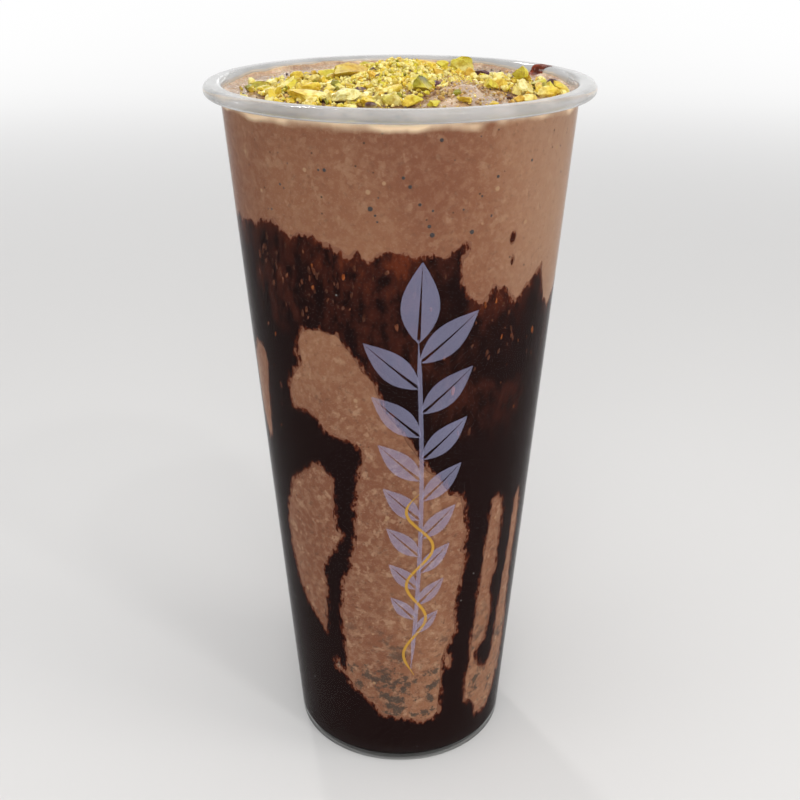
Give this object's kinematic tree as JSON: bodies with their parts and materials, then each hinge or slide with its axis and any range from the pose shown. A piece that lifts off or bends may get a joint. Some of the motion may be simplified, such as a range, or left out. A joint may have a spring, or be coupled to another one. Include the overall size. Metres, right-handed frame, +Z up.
{
  "type": "chocolate frappe in a tall clear plastic cup",
  "caption": "Blended chocolate frappe in a tall tapered clear plastic cup with a rolled rim, streaked with chocolate sauce and topped with chopped pistachio.",
  "frame": {"origin": "centre of the foot ring, on the surface that the cup stands on", "axes": "+Z up along the cup's axis, -Y towards the viewer of the front"},
  "size_m": [0.095, 0.095, 0.1867],
  "materials": {
    "clear_plastic": "clear, slightly milky moulded polypropylene with a glossy rim",
    "chocolate_sauce": "near-black brown syrup, glossy, reddish where it is thin",
    "frappe": "pinkish mid-brown blended ice drink with fine specks and small bubbles",
    "pistachio": "chopped yellow-green nuts with dark purple-brown skins"
  },
  "bodies": {
    "root": {"cup": "clear_plastic", "chocolate_sauce": "chocolate_sauce", "frappe": "frappe", "pistachio_topping": "pistachio"}
  },
  "joints": []
}
